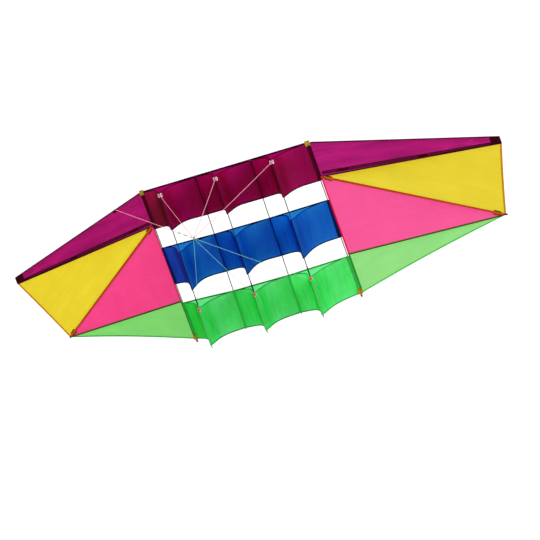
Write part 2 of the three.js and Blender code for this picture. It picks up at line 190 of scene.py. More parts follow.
class Nodes:
    """The node tree of a new material or world, with short ways to add and join nodes."""

    def __init__(self, name, kind=bpy.data.materials):
        self.owner = kind.new(name)
        self.owner.use_nodes = True
        self.tree = self.owner.node_tree
        self.tree.nodes.clear()

    def join(self, value, socket):
        if isinstance(value, bpy.types.NodeSocket):
            self.tree.links.new(value, socket)
        else:
            socket.default_value = value

    def add(self, kind, inputs=None, **settings):
        node = self.tree.nodes.new("ShaderNode" + kind)
        for key, value in settings.items():
            setattr(node, key, value)
        for key, value in (inputs or {}).items():
            self.join(value, node.inputs[key])
        return node

    def math(self, operation, first, second=0.0):
        return self.add("Math", {0: first, 1: second}, operation=operation).outputs[0]

    def plus(self, first, second, share):
        return self.math("ADD", first, self.math("MULTIPLY", second, share))

    def mix(self, factor, first, second):
        node = self.add("Mix", data_type="RGBA")
        for index, value in ((0, factor), (6, first), (7, second)):
            self.join(value, node.inputs[index])
        return node.outputs[2]

    def weave(self):
        """Distances along and across a cloth or cord, in metres."""
        return self.add("UVMap", uv_map="weave").outputs[0]

    def place(self):
        return self.add("TexCoord").outputs["Object"]

    def noise(self, place, scale, detail, **more):
        inputs = {"Vector": place, "Scale": scale, "Detail": detail, **more}
        return self.add("TexNoise", inputs).outputs["Fac"]

    def bump(self, height, strength, distance):
        inputs = {"Height": height, "Strength": strength, "Distance": distance}
        return self.add("Bump", inputs).outputs[0]

    def slanted(self, tone):
        """Cloth seen at a slant is darker and deeper in colour, as the light has more of it to pass."""
        facing = self.add("LayerWeight", {"Blend": 0.5}).outputs["Facing"]
        straight = self.math("MAXIMUM", self.math("SUBTRACT", 1.0, facing), 0.3)
        longer = self.math("SUBTRACT", self.math("DIVIDE", 1.0, straight), 1.0)
        gamma = self.plus(1.0, longer, SLANT_DEPTH)
        return self.add("Gamma", {"Color": tone, "Gamma": gamma}).outputs[0]

    def surface(self, tone, roughness, bump, gloss, sheen=0.0):
        inputs = {"Base Color": tone, "Roughness": roughness, "Normal": bump}
        inputs.update({"Specular IOR Level": gloss, "Sheen Weight": sheen})
        return self.add("BsdfPrincipled", inputs).outputs[0]

    def fabric(self, tone, through, bump, roughness, gloss):
        """Part of the light passes through the cloth and the rest is reflected with a soft sheen."""
        front = self.surface(tone, roughness, bump, gloss, SHEEN)
        behind = self.add("BsdfTranslucent", {"Color": tone, "Normal": bump}).outputs[0]
        return self.finish(self.add("MixShader", {0: through, 1: front, 2: behind}).outputs[0])

    def finish(self, shader):
        self.add("OutputMaterial", {"Surface": shader})
        return self.owner


def scaled(colour, factor):
    return tuple(min(1.0, channel * factor) for channel in colour[:3]) + (1,)


def ripstop_threads(nodes, distance):
    """1 on the heavier threads that cross the cloth every few millimetres, else 0."""
    share = nodes.math("FRACT", nodes.math("DIVIDE", distance, RIPSTOP_PITCH))
    return nodes.math("LESS_THAN", share, RIPSTOP_THREAD / RIPSTOP_PITCH)


def crease_lines(nodes, place):
    """1 along thin sharp creases, fading to 0 beside them."""
    wander = nodes.noise(place, 0.8, 1.5, Distortion=0.7)
    beside = nodes.math("ABSOLUTE", nodes.math("SUBTRACT", wander, 0.5))
    return nodes.math("MAXIMUM", nodes.math("SUBTRACT", 1.0, nodes.math("DIVIDE", beside, CREASE_LINE)), 0.0)


def nylon(name, colour, crease_paint=0.35, patch=0.1, run=(2.2, 17.0), turn=0.12):
    """Ripstop nylon.

    crease_paint is the strength of the shade and highlight painted along its creases, and patch that of its
    cloudy patches. run is how tight the creases lie along and across the cloth, and turn is their slant.
    """
    nodes = Nodes(name)
    uv = nodes.weave()
    along, across, _ = nodes.add("SeparateXYZ", {0: uv}).outputs
    grid = nodes.math("MAXIMUM", ripstop_threads(nodes, along), ripstop_threads(nodes, across))
    mapping = {"Vector": uv, "Scale": (*run, 1.0), "Rotation": (0, 0, turn)}
    turned = nodes.add("Mapping", mapping).outputs[0]
    folds = nodes.noise(turned, 2.0, 3.0)
    line = crease_lines(nodes, turned)
    cloud = nodes.noise(uv, 5.0, 4.0, Roughness=0.55)
    tone = nodes.mix(cloud, scaled(colour, 1 - patch), scaled(colour, 1 + 0.8 * patch))
    # painted shade where the folds sink and painted highlight where they rise
    painted_crease_shading = nodes.math("MULTIPLY", nodes.math("SUBTRACT", folds, 0.48), crease_paint)
    tone = nodes.mix(painted_crease_shading, tone, scaled(colour, CREASE_PAINTED_SHADE))
    tone = nodes.mix(nodes.math("MULTIPLY", painted_crease_shading, -1.0), tone, scaled(colour, CREASE_PAINTED_HIGHLIGHT))
    tone = nodes.mix(nodes.math("MULTIPLY", grid, 0.10), tone, scaled(colour, 0.6))
    # a painted highlight along the sharp crease lines
    tone = nodes.mix(nodes.math("MULTIPLY", line, 0.2 * crease_paint), tone, scaled(colour, CREASE_PAINTED_HIGHLIGHT))
    height = nodes.plus(nodes.plus(folds, grid, 0.06), line, 0.2)
    height = nodes.plus(height, nodes.noise(uv, THREADS, 1.0), 0.05)
    return nodes.fabric(nodes.slanted(tone), THROUGH, nodes.bump(height, 0.4, 4 * MM), 0.42, 0.13)


def folded_cloth(name, colour):
    """Cloth in several layers, with a row of stitches near its edge."""
    nodes = Nodes(name)
    uv = nodes.weave()
    along, across, _ = nodes.add("SeparateXYZ", {0: uv}).outputs
    share = nodes.math("FRACT", nodes.math("DIVIDE", along, STITCH_PITCH))
    beside = nodes.math("ABSOLUTE", nodes.math("SUBTRACT", across, STITCH_ROW))
    on_row = nodes.math("LESS_THAN", beside, STITCH_THREAD / 2)
    thread = nodes.math("MULTIPLY", nodes.math("LESS_THAN", share, 0.62), on_row)
    cloud = nodes.noise(uv, 26.0, 3.0)
    tone = nodes.mix(cloud, scaled(colour, 0.84), scaled(colour, 1.14))
    tone = nodes.mix(nodes.math("MULTIPLY", thread, 0.35), tone, scaled(colour, 2.2))
    height = nodes.plus(nodes.plus(cloud, thread, 2.0), nodes.noise(uv, THREADS, 1.0), 0.3)
    return nodes.fabric(tone, THROUGH_FOLDED, nodes.bump(height, 0.5, 1 * MM), 0.6, 0.03)


def rod_material(name, dark, light):
    """Pultruded rod: satin, with fine lengthwise streaks."""
    nodes = Nodes(name)
    stretched = nodes.add("Mapping", {"Vector": nodes.place(), "Scale": (900, 900, 30)})
    fibre = nodes.noise(stretched.outputs[0], 1.0, 4.0)
    grain = nodes.bump(fibre, 0.2, 0.2 * MM)
    return nodes.finish(nodes.surface(nodes.mix(fibre, dark, light), 0.42, grain, 0.25))


def cord_material(name, colour, dark):
    """Braided cord: diagonal strands that run round it."""
    nodes = Nodes(name)
    inputs = {"Vector": nodes.weave(), "Scale": 420.0, "Distortion": 0.4, "Detail": 1.0}
    strands = nodes.add("TexWave", inputs, bands_direction="DIAGONAL").outputs["Fac"]
    return nodes.fabric(nodes.mix(strands, dark, colour), 0.25, nodes.bump(strands, 0.6, 0.4 * MM), 0.7, 0.2)


def moulded(name, colour, roughness):
    """Soft moulded vinyl with a fine grain."""
    nodes = Nodes(name)
    grain = nodes.noise(nodes.place(), 500.0, 3.0)
    tone = nodes.mix(grain, scaled(colour, 0.8), scaled(colour, 1.2))
    return nodes.finish(nodes.surface(tone, roughness, nodes.bump(grain, 0.2, 0.2 * MM), 0.2))


def ring_metal():
    """Satin metal with fine turning marks."""
    nodes = Nodes("ring_metal")
    marks = nodes.noise(nodes.place(), 900.0, 2.0)
    tone = nodes.mix(marks, srgb(150, 154, 158), srgb(205, 208, 212))
    inputs = {"Base Color": tone, "Roughness": nodes.plus(0.2, marks, 0.2), "Metallic": 1.0}
    return nodes.finish(nodes.add("BsdfPrincipled", inputs).outputs[0])


# strength of the painted crease shade and highlight, the cloudy patches, and the creases' lie and slant
CELL_CREASES = {"crease_paint": 1.1, "patch": 0.13, "run": (20.0, 4.5), "turn": 0.25}
CREASES = {"purple": {"crease_paint": 2.6, "patch": 0.16, "run": (1.6, 9.0), "turn": -0.45}}
CREASES.update({key: CELL_CREASES for key in ("plum", "blue", "green")})
cloth = {key: nylon(f"nylon_{key}", colour, **CREASES.get(key, {})) for key, colour in NYLON.items()}
folded = {key: folded_cloth(f"folded_{key}", colour) for key, colour in FOLDED.items()}
outer_rod = rod_material("glass_fibre_rod", srgb(36, 38, 40), srgb(66, 70, 70))
keel_rod = rod_material("carbon_rod", srgb(6, 7, 10), srgb(18, 20, 24))
upper_finish = cord_material("bridle_cord_upper", srgb(250, 188, 200), srgb(222, 136, 154))
bow_finish = cord_material("bridle_bow", srgb(255, 232, 246), srgb(255, 204, 226))
lower_finish = cord_material("bridle_cord_lower", srgb(150, 226, 204), srgb(116, 184, 164))
line_finish = cord_material("flying_line_cord", srgb(248, 196, 188), srgb(220, 146, 142))
olive_whipping = cord_material("whipping_olive", srgb(196, 184, 84), srgb(132, 122, 40))
dark_whipping = cord_material("whipping_dark", srgb(84, 82, 66), srgb(48, 46, 38))
loop_black = cord_material("loop_black", srgb(26, 30, 26), srgb(10, 14, 10))
red_knot = cord_material("knot_red", srgb(204, 62, 54), srgb(158, 34, 34))
cap_red = moulded("cap_red", srgb(160, 48, 36), 0.5)
cap_black = moulded("cap_black", srgb(20, 20, 22), 0.45)
metal = ring_metal()


def placed(name, data):
    """A new object in the scene."""
    thing = bpy.data.objects.new(name, data)
    bpy.context.scene.collection.objects.link(thing)
    return thing


# ---- reading the frame ----

def vertices(node):
    return [vertex.co.copy() for vertex in frame["nodes"][node].data.vertices]


def rod_ends(node):
    """The two ends of a straight CAD rod's axis, the higher one first."""
    low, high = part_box(node)
    extent = high - low
    axis = max(range(3), key=lambda i: extent[i])
    middle = (low[axis] + high[axis]) / 2
    points = vertices(node)
    lower = [p for p in points if p[axis] < middle]
    upper = [p for p in points if p[axis] >= middle]
    ends = [sum(side, Vector()) / len(side) for side in (lower, upper)]
    return sorted(ends, key=lambda p: -p.z)


def panel_corners(node):
    """The corners of a flat CAD panel, midway through its thickness."""
    same = 0.05 * MM
    points = []
    for point in vertices(node):
        if all((point - p).length > same for p in points):
            points.append(point)
    corners = []
    for point in points:
        other = min((p for p in points if p is not point), key=lambda p: (p - point).length)
        middle = (point + other) / 2
        if all((middle - c).length > same for c in corners):
            corners.append(middle)
    return corners


def line_at(ends, z):
    """The point of a nearly upright rod's axis at height z."""
    top, bottom = ends
    return top.lerp(bottom, (top.z - z) / (top.z - bottom.z))


def box_centre(node):
    low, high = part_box(node)
    return (low + high) / 2


# ---- cloth building ----

def shares(steps):
    """Even steps from 0 to 1."""
    return [k / steps for k in range(steps + 1)]


class Piece:
    """One visible piece: sheets, hems and tubes, each with its own material."""

    def __init__(self):
        self.mesh = bmesh.new()
        self.uv = self.mesh.loops.layers.uv.new("weave")
        self.materials = []

    def index(self, material):
        if material not in self.materials:
            self.materials.append(material)
        return self.materials.index(material)

    def quads(self, rows, material, closed=False):
        """Joins rows of points with quads. Closed rows meet themselves, as in a tube."""
        index = self.index(material)
        grid = [[self.mesh.verts.new(point) for point in row] for row in rows]
        along, across = measured(rows)
        columns = len(rows[0])
        for i in range(len(rows) - 1):
            for j in range(columns if closed else columns - 1):
                k = (j + 1) % columns
                corners = [(i, j), (i + 1, j), (i + 1, k), (i, k)]
                face = self.mesh.faces.new([grid[a][b] for a, b in corners])
                face.material_index = index
                face.smooth = True
                for loop, (a, b) in zip(face.loops, corners):
                    loop[self.uv].uv = (along[a], across[a][b])

    def sheet(self, surface, columns, rows, material, lift=0.0):
        """surface(u, v) sampled over the unit square, moved along its normal by lift."""
        points = [[surface(u, v) for v in shares(rows)] for u in shares(columns)]
        self.quads(lifted(points, lift) if lift else points, material)

    def hem(self, surface, edge, width, material, steps=24):
        """Folded edge of even width, on both faces, along a surface's edge: "u0", "u1", "v0" or "v1"."""
        for lift in (-LAYER, LAYER):
            self.sheet(lambda s, t: off_edge(surface, edge, s, width * t), steps, 2, material, lift)

    def seam(self, first, second, width, material, steps=40, flip=False):
        """Tape over the seam between edges of two surfaces. Each is (surface, edge)."""
        for lift in (-2 * LAYER, 2 * LAYER):
            rows = []
            for s in shares(steps):
                one = off_edge(*first, s, width / 2)
                two = off_edge(*second, 1 - s if flip else s, width / 2)
                middle = (off_edge(*first, s, 0) + off_edge(*second, 1 - s if flip else s, 0)) / 2
                rows.append([one, middle, two])
            self.quads(lifted(rows, lift), material)

    def tube(self, path, radius, material, sides=8, cap=True):
        """A round tube along a path. radius is a number or a function of the share of the path."""
        rows = []
        normal = None
        for i, point in enumerate(path):
            ahead = (path[min(i + 1, len(path) - 1)] - path[max(i - 1, 0)]).normalized()
            normal = normal or ahead.orthogonal().normalized()
            normal = (normal - ahead * normal.dot(ahead)).normalized()
            other = ahead.cross(normal)
            size = radius(i / (len(path) - 1)) if callable(radius) else radius
            angles = [2 * math.pi * k / sides for k in range(sides)]
            rows.append([point + (normal * math.cos(a) + other * math.sin(a)) * size for a in angles])
        if cap:
            rows = [[path[0].copy() for _ in range(sides)], *rows, [path[-1].copy() for _ in range(sides)]]
        self.quads(rows, material, closed=True)

    def finish(self, name, body, replaced=(), slot=None):
        bmesh.ops.remove_doubles(self.mesh, verts=self.mesh.verts, dist=1e-6)
        bmesh.ops.dissolve_degenerate(self.mesh, dist=1e-7, edges=self.mesh.edges)
        data = bpy.data.meshes.new(name)
        self.mesh.to_mesh(data)
        self.mesh.free()
        for material in self.materials:
            data.materials.append(material)
        piece = placed(name, data)
        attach(piece, body)
        if replaced:
            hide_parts(*replaced)
        return piece


def measured(rows):
    """Distances along the middle of the rows and across each of them, for the weave."""
    across = []
    for row in rows:
        distances = [0.0]
        for first, second in zip(row, row[1:]):
            distances.append(distances[-1] + (second - first).length)
        across.append(distances)
    middle = len(rows[0]) // 2
    along = [0.0]
    for first, second in zip(rows, rows[1:]):
        along.append(along[-1] + (second[middle] - first[middle]).length)
    return along, across


def lifted(points, lift):
    """Moves a grid of points along the normal that faces back, or forward for a negative lift."""
    result = []
    for i, row in enumerate(points):
        moved = []
        for j, point in enumerate(row):
            along = points[min(i + 1, len(points) - 1)][j] - points[max(i - 1, 0)][j]
            across = row[min(j + 1, len(row) - 1)] - row[max(j - 1, 0)]
            normal = along.cross(across)
            normal = normal.normalized() if normal.length > 1e-12 else BACK
            moved.append(point + backward(normal) * lift)
        result.append(moved)
    return result


def off_edge(surface, edge, s, distance):
    """The point of a surface at share s along one of its edges, a distance in from that edge."""
    def at(t):
        t = t if edge[1] == "0" else 1 - t
        return surface(s, t) if edge[0] == "v" else surface(t, s)

    step = 0.05
    length = (at(step) - at(0)).length / step
    return at(min(1.0, distance / max(length, 1e-6)))


def backward(vector):
    """The vector or its opposite, whichever points back."""
    return -vector if vector.y < 0 else vector


def hump(t, power=1.0):
    return max(0.0, math.sin(math.pi * t)) ** power


def crumple(u, v, length, width, seed, size):
    """Small creases that run mostly along the second direction and die out at the edges."""
    slow = noise.noise(Vector((u * length * 15, v * width * 4, seed)))
    quick = noise.noise(Vector((u * length * 34, v * width * 9, seed + 9)))
    return (slow + 0.35 * quick) * size * hump(u, 0.5) * hump(v, 0.5)


def fan(along, across, seed, size, reach):
    """Creases that spread from a point where the cloth is pulled."""
    distance = math.hypot(along, across)
    angle = math.atan2(across, along)
    wave = math.sin(9 * angle + seed) + 0.5 * math.sin(17 * angle + 2 * seed)
    return size * wave * min(1, distance / PULL_START) * math.exp(-distance / reach)


# ---- centre body ----

COLUMNS = {
    "left": ("outer_left", "inner_left"),
    "centre": ("inner_left", "inner_right"),
    "right": ("inner_right", "outer_right"),
}
LONGERONS = ("outer_left", "inner_left", "inner_right", "outer_right")
ROWS = {"nose": "plum", "middle": "blue", "tail": "green"}
DROP_POWER = {"nose": 2.5, "middle": 2.5, "tail": 1.5}  # how late a row's drop towards the tail sets in
# the flange of an outer longeron's sleeve on the cell panel: cloth, tail end's width, nose end's width
FLANGE = {
    "plum": ("plum_sleeve", 10 * MM, 8 * MM),
    "blue": ("blue_edge", 12 * MM, 3 * MM),
    "green": ("green_sleeve", 7 * MM, 5 * MM),
}
ROW_HOLLOW = {"nose": 8 * MM, "middle": 8 * MM, "tail": 4 * MM}
longerons = {key: rod_ends(f"longeron_{key}") for key in LONGERONS}
keels = {key: rod_ends(f"keel_rod_{key}") for key in COLUMNS}


def row_span(row):
    low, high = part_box(f"back_sheet_{row}")
    return low.z, high.z


def back_surface(row):
    """The flat side of a row, from the left outer longeron to the right one, bellied back in each bay."""
    low, high = row_span(row)

    def surface(u, v):
        z = low + (high - low) * v
        bay = min(2, int(u * 3))
        across = u * 3 - bay
        start = line_at(longerons[LONGERONS[bay]], z)
        end = line_at(longerons[LONGERONS[bay + 1]], z)
        point = start.lerp(end, across)
        point.y += BACK_OFFSET + BACK_BILLOW * hump(across) * (0.6 + 0.4 * hump(v))
        point.y += crumple(across, v, 0.33, 0.22, 3.1 * bay + high, 1.2 * MM)
        return point

    return surface


def pull_height(row, column):
    """Where a bridle leg is tied to this row's keel, or None for the middle row."""
    if row == "tail":
        return box_centre(f"keel_patch_{column}").z
    if row == "nose":
        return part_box(f"bridle_upper_{column}")[1].z - CAD_KNOT
    return None


def cell_surface(row, column):
    """A cell's two windward panels, from its left longeron over the keel fold to its right longeron."""
    low, high = row_span(row)
    cell_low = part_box(f"cell_{row}_{column}")[0]
    fold_y = cell_low.y + FOLD_HALF
    drop = low - cell_low.z
    pull = pull_height(row, column)
    left, right = COLUMNS[column]

    def surface(u, v):
        side = -1 if u < 0.5 else 1
        to_keel = 1 - abs(2 * u - 1)
        is_outer = column == ("left" if side < 0 else "right")
        billow = OUTER_BILLOW if is_outer else CELL_BILLOW
        z = low + (high - low) * v - drop * to_keel ** DROP_POWER[row]
        z += ROW_HOLLOW[row] * hump(to_keel) * (1 - v)
        edge = line_at(longerons[left if side < 0 else right], z)
        edge.x -= side * CELL_EDGE
        keel = line_at(keels[column], z)
        keel.y = fold_y
        across = keel - edge
        inward = Vector((across.y, -across.x, 0)).normalized() * side
        slack = billow * hump(to_keel, 1.5) * (0.9 + 0.1 * hump(v))
        seed = 3 * high + 11 * keel.x + side
        slack += crumple(to_keel, v, 0.24, 0.22, seed, CELL_CREASE)
        if pull is not None:
            from_keel = (1 - to_keel) * across.length
            slack += fan(from_keel, z - pull, seed, PULL_CREASE, PULL_REACH) * hump(to_keel, 0.3)
        return edge.lerp(keel, to_keel) + inward * slack

    return surface


# how far a sleeve's flanges reach left and right, in millimetres: the outer sleeves meet the wings
SLEEVE_HALVES = {"outer_left": (7.0, 5.0), "outer_right": (5.0, 7.0)}
INNER_HALVES = (3.9, 3.9)


def ribbon(piece, ends, low, high, profile, material):
    """A strip along an upright rod. profile is a list of (x, y) off its axis, in millimetres."""
    rows = []
    for t in shares(12):
        centre = line_at(ends, low + (high - low) * t)
        rows.append([centre + Vector((x * MM, y * MM, 0)) for x, y in profile])
    piece.quads(rows, material)


def longeron_sleeve(piece, ends, low, high, halves, key):
    """Cloth round a longeron: a round channel between two sewn flanges that reach as far as halves says."""
    front = [(-3.2, -1), (-2.4, -2.4), (0, -3.2), (2.4, -2.4), (3.2, -1)]
    back = [(x, -y) for x, y in front]
    ribbon(piece, ends, low, high, front, folded[f"{key}_sleeve"])
    ribbon(piece, ends, low, high, back, folded[f"{key}_sleeve"])
    for side, half in zip((-1, 1), halves):
        for y, end in ((-1, -0.8), (1, -0.2)):
            flange = [(side * 3.2, y), (side * (half + 3.2) / 2, (y + 2 * end) / 3), (side * half, end)]
            ribbon(piece, ends, low, high, flange, folded[f"{key}_edge"])


def back_piece(row):
    key = ROWS[row]
    piece = Piece()
    surface = back_surface(row)
    low, high = row_span(row)
    piece.sheet(surface, 60, 14, cloth[key])
    piece.hem(surface, "v0", ROW_HEM, folded[f"{key}_edge"], steps=60)
    piece.hem(surface, "v1", NOSE_HEM if row == "nose" else ROW_HEM, folded[f"{key}_edge"], steps=60)
    for name, ends in longerons.items():
        halves = SLEEVE_HALVES.get(name, INNER_HALVES)
        longeron_sleeve(piece, ends, low + 1 * MM, high - 1 * MM, halves, key)
    if row == "nose":
        edge_sleeve(piece)
    piece.finish(f"{row}_row_back_cloth", "centre_body", [f"back_sheet_{row}"], f"{key}_nylon")


def edge_sleeve(piece):
    """The sleeve round the rod along the nose edge."""
    one, other = rod_ends("nose_edge_rod")
    path = [one.lerp(other, t) for t in shares(24)]
    piece.tube(path, EDGE_SLEEVE, folded["plum_edge"], cap=False)


def cell_piece(row, column):
    key = ROWS[row]
    piece = Piece()
    surface = cell_surface(row, column)
    piece.sheet(surface, 48, 20, cloth[key])
    piece.hem(surface, "v0", CELL_HEM, folded[f"{key}_edge"], steps=48)
    piece.hem(surface, "v1", CELL_HEM * 0.75, folded[f"{key}_edge"], steps=48)
    if column != "centre":
        outer_flange(piece, surface, "u0" if column == "left" else "u1", key)
    channel = [surface(0.5, v) + BACK * KEEL_BEHIND for v in shares(12)]
    piece.tube(channel, KEEL_CHANNEL, cloth[key] if row == "nose" else folded[f"{key}_sleeve"], cap=False)
    if row == "tail":
        ferrule(piece, column, surface(0.5, 1).z)
    piece.finish(f"{row}_row_{column}_cell_cloth", "centre_body", [f"cell_{row}_{column}"], f"{key}_nylon")


def ferrule(piece, column, mouth):
    """The black sleeve on a keel rod, from the height where the rod enters the row."""
    path = [line_at(keels[column], mouth + FERRULE * t) for t in shares(8)]
    piece.tube(path, lambda t: FERRULE_RADIUS - FERRULE_ENDS * abs(2 * t - 1) ** 3, cap_black)


def outer_flange(piece, surface, edge, key):
    """The wide flange of an outer longeron's sleeve, on the cell panel, with a darker turned-in border."""
    material, tail_width, nose_width = FLANGE[key]

    def reach(s, t):
        return off_edge(surface, edge, s, (tail_width + (nose_width - tail_width) * s) * t)

    for lift in (-LAYER, LAYER):
        piece.sheet(reach, 20, 2, folded[material], lift)
    border = [reach(s, 1) for s in shares(20)]
    piece.tube(border, 1.1 * MM, folded[f"{key}_edge"], sides=6, cap=False)


def corner_pocket(end, label):
    """Webbing folded over the end of an outer longeron, closed at the end and at both sides."""
    node = f"corner_pocket_{end}_{label}"
    low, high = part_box(node)
    ends = longerons[f"outer_{label}"]
    side = -1 if label == "left" else 1
    piece = Piece()

    def face(depth, bulge, lean):
        """Behind the longeron by depth, its inboard side by lean more."""
        def surface(u, v):
            centre = line_at(ends, low.z + (high.z - low.z) * v)
            across = 2 * u - 1
            y = centre.y + depth + bulge * (1 - across * across) + lean * max(0.0, -across)
            return Vector((centre.x + side * across * POCKET_HALF, y, centre.z))
        return surface

    front = face(depth=-3.2 * MM, bulge=-1.4 * MM, lean=-7 * MM)
    back = face(depth=3.9 * MM, bulge=0.8 * MM, lean=1 * MM)
    material = folded["ochre" if end == "nose" else "tail_ochre"]
    piece.sheet(front, 10, 6, material)
    piece.sheet(back, 10, 6, material)
    for u in (0, 1):
        piece.sheet(lambda s, t, u=u: front(u, s).lerp(back(u, s), t), 6, 2, material)
    closed = 1 if end == "nose" else 0
    piece.sheet(lambda s, t: front(s, closed).lerp(back(s, closed), t), 10, 2, material)
    for v in (0.12, 0.88):
        stitches = [front(k / 12, v) + Vector((0, -0.4 * MM, 0)) for k in range(1, 12)]
        piece.tube(stitches, 0.7 * MM, folded["pocket_dark"], sides=5)
    piece.finish(f"{node}_webbing", "centre_body", [node], "ochre_pocket")


def tail_cap(label):
    """A soft moulded cap on a longeron's tail end, wide at the pocket and rounded off at its end."""
    node = f"tail_cap_{label}"
    low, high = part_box(node)
    top, bottom = longerons[f"outer_{label}"]
    along = (bottom - top).normalized()
    start = line_at((top, bottom), high.z)
    length = (high.z - low.z) / abs(along.z)
    piece = Piece()
    path = [start + along * length * t for t in shares(14)]

    def radius(t):
        rounding = max(0, (t - 0.8) * 5) ** 3
        return (CAP_WIDE + (CAP_NARROW - CAP_WIDE) * t) * (1 - 0.6 * rounding)

    piece.tube(path, radius, cap_red, sides=14)
    piece.finish(f"{node}_moulding", "centre_body", [node], "tail_cap")


def keel_patch(column):
    """A small round reinforcement over the keel fold with a rolled rim."""
    node = f"keel_patch_{column}"
    low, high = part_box(node)
    centre = box_centre(node)
    radius = (high.z - low.z) / 2

    def surface(u, v):
        angle = 2 * math.pi * u
        x = radius * v * math.cos(angle)
        y = low.y + abs(x) * 0.95 + 1.5 * MM * v
        return Vector((centre.x + x, y, centre.z + radius * v * math.sin(angle)))

    piece = Piece()
    piece.sheet(surface, 24, 6, folded["coral"])
    rim = [surface(u, 1) for u in shares(24)]
    piece.tube(rim, 1.6 * MM, folded["pale_coral"], sides=6, cap=False)
    piece.finish(f"keel_patch_{column}_eyelet", "centre_body", [node], "keel_patch")


# ---- bridle and line ----

def knot_path(centre, size, along):
    """A small tight knot round a point, its long way along the cord."""
    along = along.normalized()
    side = along.orthogonal().normalized()
    other = along.cross(side)
    path = []
    for share in shares(48):
        t = 2 * math.pi * share
        a = math.sin(t) + 2 * math.sin(2 * t)
        b = math.cos(t) - 2 * math.cos(2 * t)
        c = -math.sin(3 * t)
        path.append(centre + (side * a * 0.33 + other * b * 0.33 + along * c * 0.7) * size)
    return path


def bow(piece, centre):
    """Two upright loops, one on each side of a keel, where an upper leg is tied through the cloth."""
    for side in (-1, 1):
        loop = []
        for t in shares(24):
            angle = 2 * math.pi * t
            out = side * (BOW_OUT + BOW_WIDE * math.cos(angle))
            rise = BOW_HIGH * math.sin(angle)
            loop.append(centre + Vector((out, 0.35 * abs(out) - 1 * MM, rise)))
        piece.tube(loop, BOW_CORD, bow_finish, sides=6, cap=False)


def far_end(node, tow):
    """The point of a cord's CAD solid that is the farthest from the tow ring."""
    return max(vertices(node), key=lambda p: (p - tow).length)


def leg_start(node, tow):
    """The middle of the knot at the kite end of a leg's CAD solid."""
    far = far_end(node, tow)
    return far + (tow - far).normalized() * CAD_KNOT


def bridle_leg(level, column):
    """A cord from a keel to the tow ring, knotted at both ends."""
    node = f"bridle_{level}_{column}"
    tow = box_centre("tow_ring")
    start = leg_start(node, tow)
    direction = (tow - start).normalized()
    end = tow - direction * RING_GAP
    upper = level == "upper"
    radius, material = (UPPER_CORD, upper_finish) if upper else (LOWER_CORD, lower_finish)
    piece = Piece()
    path = [start.lerp(end, t) - UP * LEG_SAG * hump(t) for t in shares(24)]
    piece.tube(path, radius, material)
    knot = knot_path(start, LEG_KNOT, direction)
    piece.tube(knot, radius, material if upper else red_knot, cap=False)
    piece.tube(knot_path(end, RING_KNOT, direction), 1 * MM, material, cap=False)
    if upper:
        bow(piece, start)
    piece.finish(f"{node}_cord", "centre_body", [node], "bridle_cord")


# distance from the ring, length and finish
WHIPPINGS = ((38 * MM, 22 * MM, olive_whipping), (80 * MM, 12 * MM, dark_whipping))


def flying_line():
    """The line, knotted at the ring, with two whippings near it."""
    tow = box_centre("tow_ring")
    free = far_end("flying_line", tow)
    direction = (free - tow).normalized()
    start = tow + direction * LINE_GAP
    piece = Piece()
    path = [start.lerp(free, t) for t in shares(20)]
    piece.tube(path, LINE_CORD, line_finish)
    knot = knot_path(start + direction * 4 * MM, LINE_KNOT, direction)
    piece.tube(knot, 1.4 * MM, line_finish, cap=False)
    for distance, length, finish in WHIPPINGS:
        near = tow + direction * distance
        turns = [near + direction * length * t for t in shares(10)]
        piece.tube(turns, lambda t: 2.5 * MM + 0.5 * MM * math.sin(20 * math.pi * t), finish)
    piece.finish("flying_line_cord", "line", ["flying_line"], "flying_line")


# ---- wings ----

def bilinear(a, b, c, d):
    """Corners a to b at v = 0 and d to c at v = 1."""
    def surface(u, v):
        return a.lerp(b, u).lerp(d.lerp(c, u), v)
    return surface


def bellied(corners, depth, seed, creases=WING_CREASE, hollow=None, pulled=0.0):
    """A panel blown back between its edges.

    hollow is (edge, depth) of a free edge that curves inwards. pulled is the size of the creases that
    spread from the last corner.
    """
    a, b, c, d = corners
    flat = bilinear(a, b, c, d)
    length = ((b - a).length + (c - d).length) / 2
    width = max((d - a).length, (c - b).length)
    normal = backward((c - a).cross(d - b).normalized())
    forward = (c - d).normalized()
    sideways = normal.cross(forward)

    def surface(u, v):
        point = flat(u, v)
        swell = depth * hump(u, 0.8) * hump(v, 0.8) + crumple(u, v, length, width, seed, creases)
        if pulled:
            away = point - d
            spread = fan(away.dot(forward), away.dot(sideways), seed, pulled, 0.3)
            swell += spread * hump(v, 0.5) * min(1, 8 * u)
        point = point + normal * swell
        if hollow:
            edge, amount = hollow
            across = flat(0, v) - flat(1, v) if edge == "u1" else flat(u, 1) - flat(u, 0)
            fade = hump(v) * u if edge == "u1" else hump(u) * (1 - v)
            point = point + across.normalized() * min(amount, across.length) * fade
        return point

    return surface


def from_root(node, side):
    """A wing panel's corners, the nearest to the root first."""
    return sorted(panel_corners(node), key=lambda p: p.x * side)


